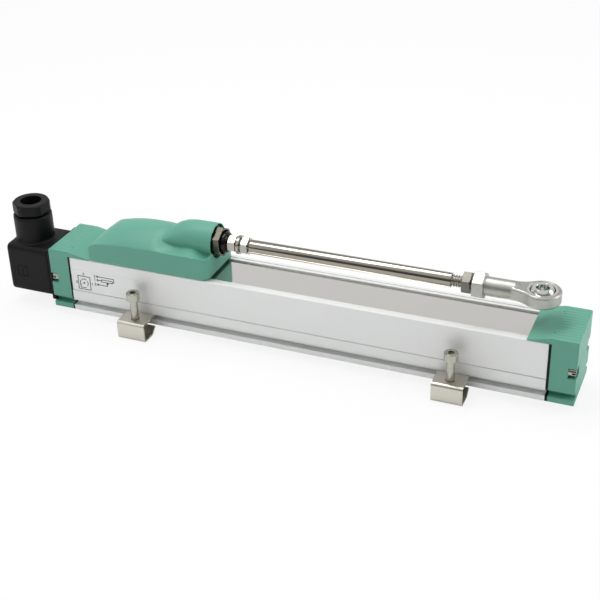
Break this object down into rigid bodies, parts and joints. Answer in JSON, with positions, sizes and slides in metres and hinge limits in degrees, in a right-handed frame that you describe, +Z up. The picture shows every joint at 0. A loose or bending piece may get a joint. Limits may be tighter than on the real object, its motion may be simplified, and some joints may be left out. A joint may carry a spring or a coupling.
{
  "type": "linear potentiometer",
  "caption": "Linear potentiometer: aluminium housing with end caps, a sliding carriage, a tie rod with a rod end, groove clamps and a square cable connector.",
  "frame": {"origin": "centre of the extrusion's underside", "axes": "+X along the housing from the connector to the free end, +Z up through the rails"},
  "size_m": [0.3078, 0.0562, 0.0605],
  "materials": {
    "aluminium": "anodised, satin",
    "polished_strip": "polished",
    "board_laminate": "laminate",
    "track_ink": "printed",
    "label_film": "thin film",
    "green_moulding": "moulded, fine texture",
    "black_moulding": "moulded",
    "dark_rubber": "moulded",
    "slide_plastic": "smooth",
    "bright_steel": "turned and polished",
    "zinc_steel": "zinc plated",
    "contact_brass": "plated",
    "magnet_ferrite": "sintered",
    "nickel_sheet": "nickel plated",
    "clamp_steel": "zinc plated"
  },
  "bodies": {
    "housing": {"profile_housing": "aluminium", "cover_strip": "polished_strip", "track_board": "board_laminate", "resistive_tracks": "track_ink", "label_film": "label_film", "left_end_cap": "green_moulding", "right_end_cap": "green_moulding", "left_gasket": "dark_rubber", "right_gasket": "dark_rubber", "left_cap_screws": "bright_steel", "right_cap_screws": "bright_steel", "connector_base": "black_moulding", "base_screws": "bright_steel", "contact_blades": "contact_brass", "connector_gasket": "dark_rubber", "terminal_block": "black_moulding", "connector_housing": "black_moulding", "connector_screw": "bright_steel", "gland_nut": "black_moulding", "seal_washer": "bright_steel", "cable_seal": "dark_rubber"},
    "carriage": {"carriage_shell": "green_moulding", "magnet_yoke": "bright_steel", "yoke_screws": "bright_steel", "carriage_magnets": "magnet_ferrite", "slide_shoes": "slide_plastic", "end_wipers": "dark_rubber", "coupling_socket": "bright_steel"},
    "cursor": {"cursor_block": "black_moulding", "cursor_magnets": "magnet_ferrite", "wiper_contacts": "contact_brass"},
    "coupling_seat": {"seat_liner": "slide_plastic"},
    "coupling_ball": {"coupling_ball": "black_moulding"},
    "rod": {"ball_pin": "bright_steel", "spring_washer": "bright_steel", "flat_washer": "bright_steel", "pin_nut": "bright_steel", "rod_tube": "bright_steel", "threaded_stud": "bright_steel", "jam_nut": "zinc_steel", "rod_end_body": "zinc_steel", "race_ring": "bright_steel"},
    "rod_end_liner": {"eye_liner": "slide_plastic"},
    "rod_end_ball": {"rod_end_ball": "bright_steel"},
    "clamp_front_left": {"clamp_bracket_front_left": "nickel_sheet", "clamp_screw_front_left": "clamp_steel"},
    "clamp_front_right": {"clamp_bracket_front_right": "nickel_sheet", "clamp_screw_front_right": "clamp_steel"},
    "clamp_back_left": {"clamp_bracket_back_left": "nickel_sheet", "clamp_screw_back_left": "clamp_steel"},
    "clamp_back_right": {"clamp_bracket_back_right": "nickel_sheet", "clamp_screw_back_right": "clamp_steel"}
  },
  "joints": [
    {"name": "carriage_slide", "type": "slide", "parent": "housing", "child": "carriage", "axis": [1, 0, 0], "range_m": [0, 0.16]},
    {"name": "cursor_slide", "type": "slide", "parent": "housing", "child": "cursor", "axis": [1, 0, 0], "range_m": [0, 0.16]},
    {"name": "coupling_yaw", "type": "hinge", "parent": "carriage", "child": "coupling_seat", "pos_m": [-0.04715, 0, 0.047], "axis": [0, 0, 1], "range_deg": [-8, 8]},
    {"name": "coupling_pitch", "type": "hinge", "parent": "coupling_seat", "child": "coupling_ball", "pos_m": [-0.04715, 0, 0.047], "axis": [0, 1, 0], "range_deg": [-8, 2.5]},
    {"name": "rod_roll", "type": "hinge", "parent": "coupling_ball", "child": "rod", "pos_m": [-0.04715, 0, 0.047], "axis": [1, 0, 0], "continuous": true},
    {"name": "rod_end_tilt", "type": "hinge", "parent": "rod", "child": "rod_end_liner", "pos_m": [0.11815, 0, 0.047], "axis": [0, 1, 0], "range_deg": [-13, 13]},
    {"name": "rod_end_spin", "type": "hinge", "parent": "rod_end_liner", "child": "rod_end_ball", "pos_m": [0.11815, 0, 0.047], "axis": [0, 0, 1], "continuous": true},
    {"name": "clamp_front_left_slide", "type": "slide", "parent": "housing", "child": "clamp_front_left", "axis": [1, 0, 0], "range_m": [-0.02, 0.05]},
    {"name": "clamp_front_right_slide", "type": "slide", "parent": "housing", "child": "clamp_front_right", "axis": [1, 0, 0], "range_m": [-0.05, 0.02]},
    {"name": "clamp_back_left_slide", "type": "slide", "parent": "housing", "child": "clamp_back_left", "axis": [1, 0, 0], "range_m": [-0.02, 0.05]},
    {"name": "clamp_back_right_slide", "type": "slide", "parent": "housing", "child": "clamp_back_right", "axis": [1, 0, 0], "range_m": [-0.05, 0.02]}
  ],
  "couplings": [
    {"joint": "cursor_slide", "follows": "carriage_slide", "ratio": 1}
  ]
}
